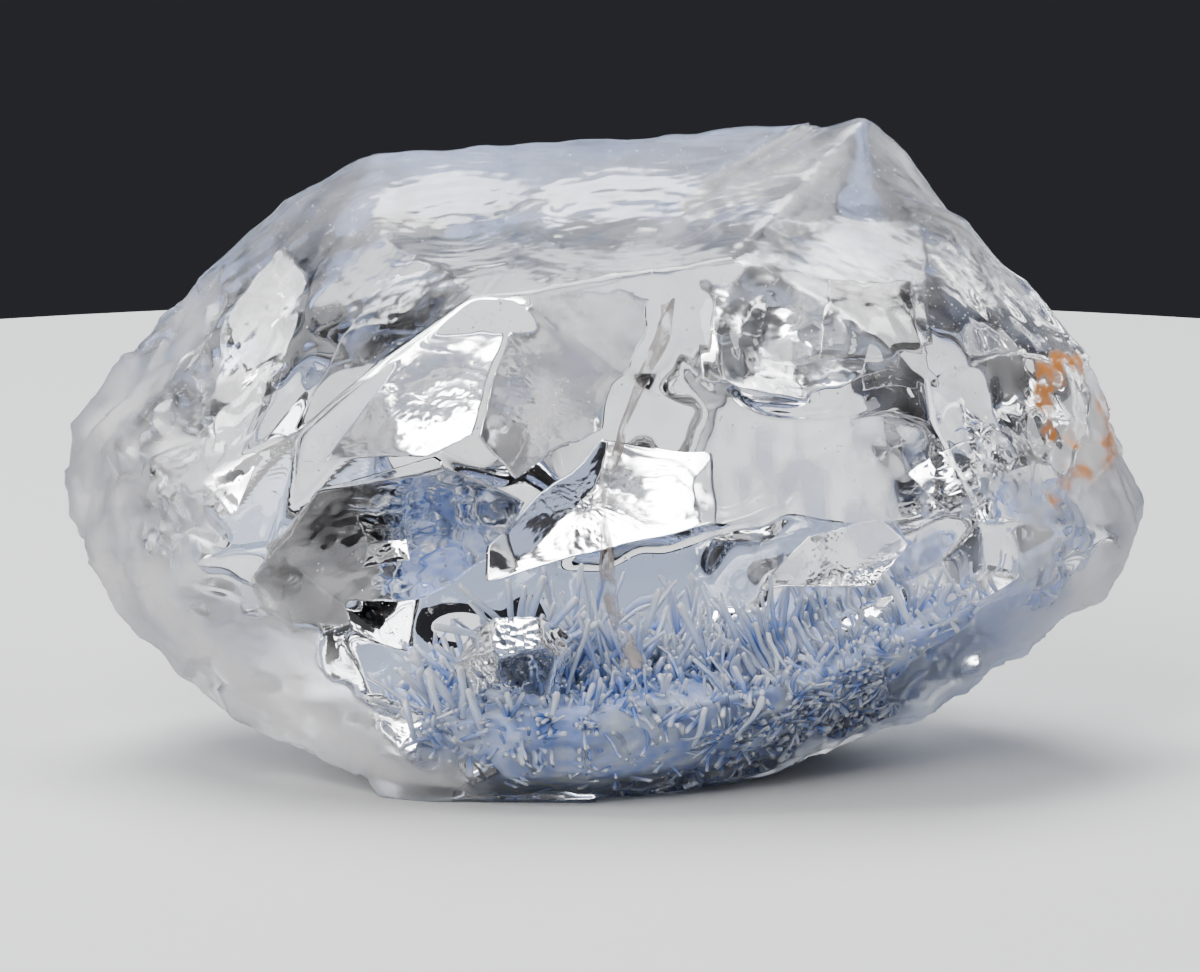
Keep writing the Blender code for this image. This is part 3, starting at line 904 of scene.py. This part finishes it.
def block(name, middle, depth, walls, seed):
    """A small knapped block: the soft minimum of its walls' distance / u.wall along each way u."""
    points, squares = cube_grid(BLOCK_SQUARES)
    ways = unit(points)
    (right, up), = seen_px([middle])
    met = meets(walls[:, 2], ways @ facing(walls[:, 0], walls[:, 1]).T)
    far = soft_least(met, BLOCK_SHARPNESS) * (1 + 0.02 * field(ways, 0.25, seed))
    places = seen(right, up, depth) + ways * far[:, None]
    return solid(name, sealed(places), squares, "quartz")


silver = block("silver_block", BLOCK_MIDDLE, BLOCK_DEPTH, BLOCK_WALLS, 81)
silver.data.materials.append(gap_look)

# %% [markdown]
# ## The needles
# Dumortierite grows as sheaves of thin rods. Every rod is a short six-sided tube along a slightly
# bent path, with a rounded tip. Curves with a bevel would do, but arrays make all rods at once.
# Most are thrown at random into fans; the tall ones and two dark ones are placed one by one.

# %% Rods
RING_SHARES = np.array([0.0, 0.5, 0.93, 0.985])
RING_WIDTHS = np.array([0.85, 1.0, 1.05, 0.8])


def rods(roots, ways, lengths, radii, bend, sides=6):
    """Closed tubes: rings around root + way t + bend t squared, narrowing to a tip.

    Returns places, triangles, the share along each rod, and which rod each point is of."""
    share = RING_SHARES
    angle = np.arange(sides) * 2 * np.pi / sides
    helper = np.where(np.abs(ways[:, 2:]) < 0.9, (0, 0, 1.0), (1.0, 0, 0))
    across = unit(np.cross(ways, helper))
    other = np.cross(ways, across)
    ring = across[:, None] * np.cos(angle)[:, None] + other[:, None] * np.sin(angle)[:, None]
    path = roots[:, None] + (ways * lengths[:, None])[:, None] * share[:, None]
    path = path + (bend * lengths[:, None])[:, None] * (share**2)[:, None]
    skin = path[:, :, None] + ring[:, None] * (radii[:, None] * RING_WIDTHS)[:, :, None, None]
    tip = roots + (ways + bend) * lengths[:, None]
    places = np.concatenate([skin.reshape(len(roots), -1, 3), roots[:, None], tip[:, None]], axis=1)
    places = sealed(places)
    here = np.arange(sides)
    there = (here + 1) % sides
    parts = []
    for k in range(len(share) - 1):
        low, high = k * sides, (k + 1) * sides
        parts.append(np.stack([low + here, low + there, high + there], 1))
        parts.append(np.stack([low + here, high + there, high + here], 1))
    last, base, top = (len(share) - 1) * sides, len(share) * sides, len(share) * sides + 1
    parts.append(np.stack([there, here, np.full(sides, base)], 1))
    parts.append(np.stack([last + here, last + there, np.full(sides, top)], 1))
    triangles = repeated(np.concatenate(parts), len(roots), places.shape[1])
    along = np.concatenate([np.repeat(share, sides), [0.0, 1.0]])
    which = np.repeat(np.arange(len(roots)), places.shape[1])
    return places.reshape(-1, 3), triangles, np.tile(along, len(roots)), which


def rod_mesh(name, made, tones=None):
    """One mesh of what rods returned, with the share along each rod and the rod's own tone."""
    places, triangles, along, which = made
    values = {} if tones is None else {"tone": tones[which]}
    return solid(name, places, triangles, "dumortierite", along=along, **values)


# %% Sheaves, tall rods and dark rods
SHEAVES = np.array([
    # root (right, up, depth), bearing, turn, length, how wide the tips spread
    (-3.4, 2.5, -2.5, 122, 6, 2.4, 0.70), (-2.3, 2.6, -2.9, 88, 8, 2.9, 0.85),
    (-0.8, 2.6, -2.6, 72, 2, 3.3, 0.85), (0.8, 2.8, -3.1, 98, 4, 2.9, 0.75),
    (2.5, 3.0, -2.6, 82, 6, 2.5, 0.85), (4.1, 3.4, -2.7, 104, 8, 2.3, 0.75),
    (5.7, 3.9, -2.3, 88, 4, 2.3, 0.90), (7.3, 4.6, -2.0, 100, 8, 1.9, 0.75),
    (8.7, 5.2, -1.4, 74, 0, 1.6, 0.70), (-2.2, 3.1, -0.8, 102, -2, 2.3, 0.85),
    (-0.3, 3.2, -0.2, 88, -2, 3.3, 0.95), (2.2, 3.3, 0.0, 98, -8, 2.9, 0.85),
    (4.8, 3.8, 0.4, 82, -6, 2.6, 0.90), (7.3, 4.8, 0.2, 94, -8, 2.0, 0.80),
])
SHEAF_RODS, SHEAF_SPREAD, SHEAF_SUNK = 40, 1.5, 0.3
TALL = np.array([
    # root x, y in the picture, tip x, y, depth of root, nearer by
    (518, 632, 457, 582, -4.4, 0.5), (505, 640, 433, 625, -4.5, 0.3),
    (516, 630, 512, 580, -4.6, 0.4), (530, 634, 546, 576, -4.3, 0.5),
    (540, 640, 580, 594, -4.4, 0.3), (500, 636, 474, 598, -4.2, 0.2),
    (526, 632, 528, 586, -4.1, 0.1), (560, 650, 590, 610, -4.0, 0.1),
    (470, 668, 437, 645, -4.5, 0.2), (548, 648, 604, 622, -4.2, 0.3),
    (462, 700, 430, 668, -4.6, 0.1), (448, 716, 436, 674, -4.6, 0.2),
    (470, 712, 462, 664, -4.7, 0.2), (490, 730, 470, 690, -4.9, 0.3),
    (520, 735, 508, 692, -5.0, 0.3), (548, 738, 560, 690, -5.0, 0.3),
    (580, 730, 596, 680, -4.8, 0.3), (420, 735, 412, 690, -4.3, 0.1),
    (700, 650, 676, 604, -4.2, 0.4), (735, 646, 716, 596, -4.0, 0.2),
    (640, 640, 655, 590, -4.2, 0.3), (905, 620, 880, 575, -3.6, 0.2),
    (920, 610, 940, 570, -3.4, 0.2), (890, 625, 858, 600, -3.6, 0.2),
    (690, 740, 700, 700, -5.0, 0.2), (735, 735, 760, 690, -4.8, 0.2),
])
DARK = np.array([(844, 712, 858, 738, -3.3, 0.0), (410, 744, 416, 758, -4.0, 0.1)])
DARK_RADIUS, PLACED_SIDES = 0.09, 10
dice = np.random.default_rng(4)


def fan_rods(rows, thin, thick):
    """Rods that start near one root and spread into a cone: way = axis + spread times a random
    vector, most of them shorter than the sheaf."""
    row = np.repeat(np.arange(len(rows)), SHEAF_RODS)
    right, up, depth, bearing, turn, length, tip = rows[row].T
    axis = facing(bearing, turn)
    spread = (tip / length * SHEAF_SPREAD)[:, None] * dice.normal(size=(len(row), 3))
    ways = unit(axis + spread)
    roots = seen(right, up, depth) - axis * SHEAF_SUNK + dice.normal(size=(len(row), 3)) * 0.3
    lengths = (length + SHEAF_SUNK) * dice.uniform(0.2, 1.0, len(row)) ** 1.2
    radii = dice.uniform(thin, thick, len(row))
    return rods(roots, ways, lengths, radii, dice.normal(size=roots.shape) * 0.05)


def placed_rods(rows, radii, bend):
    """Rods from root to tip as rows of picture places say; a tip lies nearer by the last number."""
    root = seen(*seen_px(rows[:, :2]).T, rows[:, 4])
    way = seen(*seen_px(rows[:, 2:4]).T, rows[:, 4] - rows[:, 5]) - root
    long = np.linalg.norm(way, axis=1)
    return rods(root, way / long[:, None], long, radii, bend, sides=PLACED_SIDES)


sheaf_rods = fan_rods(SHEAVES, 0.04, 0.085)
sheaf_tones = dice.uniform(size=len(SHEAVES) * SHEAF_RODS)
tall_radii = dice.uniform(0.07, 0.1, len(TALL))
tall_rods = placed_rods(TALL, tall_radii, dice.normal(size=(len(TALL), 3)) * 0.03)
tall = rod_mesh("needle_tall", tall_rods, dice.uniform(0.5, 1, len(TALL)))
dark_rods = placed_rods(DARK, np.full(len(DARK), DARK_RADIUS), np.zeros((len(DARK), 3)))
dark = rod_mesh("needle_dark", dark_rods)
sheaves = rod_mesh("needle_sheaves", sheaf_rods, sheaf_tones)

# %% [markdown]
# ## The bed
# The needles stand on a crust that follows the stone's own lower faces. It is a star again, the
# larger of two soft minima: the stone's planes, moved in by about a millimetre, and four planes
# that end each bed. Bumps wear its skin in. Then a mat of short rods is thrown on it, most of them
# on its top and front, where the eye looks.

# %% The bed
BED_IN, BED_SHARPNESS, BED_SQUARES = 0.95, 5, 56
BED_STRETCH = (1.0, 0.45, 0.3)
BED_HEART = seen(3.2, 3.0, -1.8)
BEDS = [
    # each bed's own planes: a place (right, up, depth), bearing and turn
    ((-1.0, 3.2, -2.4, 96, 14), (-4.6, 2.0, -2.0, 180, 0),
     (5.0, 3.0, -2.0, 0, 0), (0.0, 3.0, 2.4, 90, -78)),
    ((6.5, 5.0, -2.0, 112, 16), (2.0, 3.0, -2.0, 180, 0),
     (10.9, 6.0, -1.0, 8, 10), (6.0, 4.0, 2.2, 90, -78)),
]


def bed_reach(ways):
    """How far the crust's two overlapping beds reach from their heart: the larger of two minima."""
    reaches = []
    for bed in BEDS:
        own = np.array(bed, dtype=float)
        places = np.concatenate([PLACES - NORMALS * BED_IN, seen(*own[:, :3].T)])
        normals = np.concatenate([NORMALS, facing(*own[:, 3:].T)])
        met = meets(((places - BED_HEART) * normals).sum(1), ways @ normals.T)
        reaches.append(soft_least(met, BED_SHARPNESS))
    return np.maximum(*reaches)


def bed_skin():
    """The crust under the needles: its reach, roughened by random bumps that only go in."""
    points, squares = cube_grid(BED_SQUARES)
    ways = unit(points * BED_STRETCH)
    far = bed_reach(ways)
    flat = BED_HEART + ways * far[:, None]
    rough = 0.14 * (1 + field(flat, 0.9, 31)) + 0.06 * (1 + field(flat, 0.35, 32))
    return BED_HEART + ways * (far - rough)[:, None], squares


bed_places, bed_squares = bed_skin()
bed = solid("needle_bed", bed_places, bed_squares, "dumortierite", ("dumortierite",))


# %% The mat of short rods
MAT_RODS, MAT_SPREAD = 4100, 0.85
SEEN_MOST, LEANING = (0, -0.7, 0.7), (0, -0.25, 0.2)


def point_normals(places, squares):
    """The mean way that the squares around each point face."""
    corner = places[squares]
    flat_way = np.cross(corner[:, 1] - corner[:, 0], corner[:, 3] - corner[:, 0])
    normals = np.zeros_like(places)
    for k in range(4):
        np.add.at(normals, squares[:, k], flat_way)
    return unit(normals)


def needle_mat(count):
    """Short stout rods all over the bed's top and front, each leaning its own way:
    normal + leaning + spread times a random vector."""
    normals = point_normals(bed_places, bed_squares)
    weight = 0.1 + step(-0.3, 0.4, normals @ SEEN_MOST)
    chosen = dice.choice(len(bed_places), count, p=weight / weight.sum())
    ways = normals[chosen] + np.array(LEANING) + dice.normal(size=(count, 3)) * MAT_SPREAD
    roots = bed_places[chosen] + dice.normal(size=(count, 3)) * 0.1 - normals[chosen] * 0.1
    lengths = 0.3 + 0.8 * dice.uniform(size=count) ** 2
    radii = dice.uniform(0.03, 0.075, count)
    made = rods(roots, unit(ways), lengths, radii, dice.normal(size=(count, 3)) * 0.04)
    return rod_mesh("needle_mat", made, dice.uniform(size=count))


mat = needle_mat(MAT_RODS)

# %% [markdown]
# ## The needles' colours
# The mineral is a soft periwinkle blue. Each rod has a tone of its own between deep and pale, and
# goes white towards its tip: a painted highlight for the light that comes out of it there. The
# needles' index is set high, because they lie in quartz, which would drown a weaker shine. The bed
# has the cloud of the node group.

# %% Needle materials
# the last colour, white, is a painted highlight blended into the needles' tips
NEEDLE_DEEP, NEEDLE_MIDDLE, PAINTED_TIP_HIGHLIGHT = (0.26, 0.42, 0.95, 1), (0.74, 0.83, 1.0, 1), (1, 1, 1, 1)
BED_DEEP, BED_PALE = (0.34, 0.48, 0.98, 1), (0.84, 0.90, 1.0, 1)


def needle_material():
    """Blue rods, each with a tone of its own, with a painted highlight that whitens them towards
    the tip.
    """
    material, tree = new_material("needles")
    tone = ramp(tree, attribute(tree, "tone"), 0.15, 0.9)
    # painted highlight: over the last 40 percent of each rod its colour is blended up to 0.8
    # towards white
    tip = ramp(tree, attribute(tree, "along"), 0.6, 1.0, 0.0, 0.8)
    body = blend(tree, tone, NEEDLE_DEEP, NEEDLE_MIDDLE)
    return shade(material, {
        "Base Color": blend(tree, tip, body, PAINTED_TIP_HIGHLIGHT),
        "Roughness": 0.22,
        "IOR": 1.9,
        "Specular IOR Level": 0.9,
    })


def bed_material():
    """A matt crust, mottled between two blues."""
    material, tree = new_material("needle_bed")
    mottled = blend(tree, cloud(tree, 1600, 5, 0.3, 0.7), BED_DEEP, BED_PALE)
    return shade(material, {"Base Color": mottled, "Roughness": 0.6})


rod_look = needle_material()
dark_look = shade(
    new_material("dark_needles")[0], {"Base Color": (0.10, 0.11, 0.20, 1), "Roughness": 0.4}
)
for made, look in ((sheaves, rod_look), (tall, rod_look), (mat, rod_look), (dark, dark_look)):
    made.data.materials.append(look)
bed.data.materials.append(bed_material())

# %% [markdown]
# ## The place
# The stone lies on a plain pale table in front of a dark room. Glass shows its surroundings, so the
# lights matter more than on a matt piece. Four softboxes give the white windows, and a dim blue
# card behind the stone keeps the mirrors that face it from going black. Each is chosen by its
# radiance, as a glowing panel: power = radiance pi area.

# %% Table and room
FLOOR_RADIUS, FLOOR_CORNERS = 60.0, 180

around = np.linspace(0, 2 * np.pi, FLOOR_CORNERS, endpoint=False)
disc = FLOOR_RADIUS * np.stack([np.cos(around), np.sin(around), np.zeros_like(around)], -1)
floor = solid("floor", disc, [tuple(range(FLOOR_CORNERS))], None, smooth=False)
table_look = shade(
    new_material("table")[0], {"Base Color": (0.46, 0.46, 0.455, 1), "Roughness": 0.55}
)
floor.data.materials.append(table_look)

world = bpy.data.worlds.new("room")
bpy.context.scene.world = world
world.use_nodes = True
world.node_tree.nodes["Background"].inputs["Color"].default_value = (0.026, 0.026, 0.03, 1)

# %% Lights
LIGHTS_AIM = (0, 0, 7)
LIGHTS = [
    # name, place, width, height, radiance, colour
    ("above", (-30, 60, 190), 170, 120, 9.0, (1, 1, 1)),
    ("left", (-210, -90, 130), 150, 150, 5.0, (1, 1, 1)),
    ("right", (220, -40, 140), 140, 140, 4.0, (0.96, 0.98, 1.0)),
    ("front", (-70, -190, 200), 130, 130, 7.0, (1, 1, 1)),
    ("back_card", (0, 240, 110), 460, 210, 0.5, (0.66, 0.77, 1.0)),
]


def softbox(name, place, width, height, radiance, colour):
    """An area light that looks at the stone's middle."""
    data = bpy.data.lights.new(name, "AREA")
    data.shape = "RECTANGLE"
    data.size, data.size_y = width * MM, height * MM
    data.energy = radiance * math.pi * width * height * MM * MM
    data.color = colour
    lamp = bpy.data.objects.new(name, data)
    bpy.context.scene.collection.objects.link(lamp)
    lamp.location = Vector(place) * MM
    away = Vector(place) - Vector(LIGHTS_AIM)
    lamp.rotation_euler = away.to_track_quat("Z", "Y").to_euler()
    print(f"{name}: {data.energy:.3f} watts")


for row in LIGHTS:
    softbox(*row)

# %% [markdown]
# ## The camera
# It stands where the eye of the view frame is, so that the stone's outline falls where it was
# measured. Its lens follows from the picture's width at the stone. A high contrast look suits the
# bright stone in a dark room. Light paths are short: six turns through the stone are enough.

# %% Camera
SENSOR = 36.0

camera = bpy.data.cameras.new("camera")
camera.sensor_width = SENSOR
camera.lens = SENSOR * EYE_DISTANCE / (PICTURE_WIDTH * PIXEL)
camera.clip_start = 0.005
camera_object = bpy.data.objects.new("camera", camera)
bpy.context.scene.collection.objects.link(camera_object)
camera_object.location = seen(*MIDDLE, -EYE_DISTANCE) * MM
camera_object.rotation_euler = (math.radians(90 - VIEW_TILT), 0, 0)
bpy.context.scene.camera = camera_object
bpy.context.scene.view_settings.look = "AgX - Medium High Contrast"
bpy.context.scene.view_settings.exposure = 0.4
paths = bpy.context.scene.cycles
paths.max_bounces = 6
paths.transmission_bounces = 6
paths.diffuse_bounces = 2
paths.glossy_bounces = 4
paths.transparent_max_bounces = 6
print(f"lens: {camera.lens:.1f} mm")
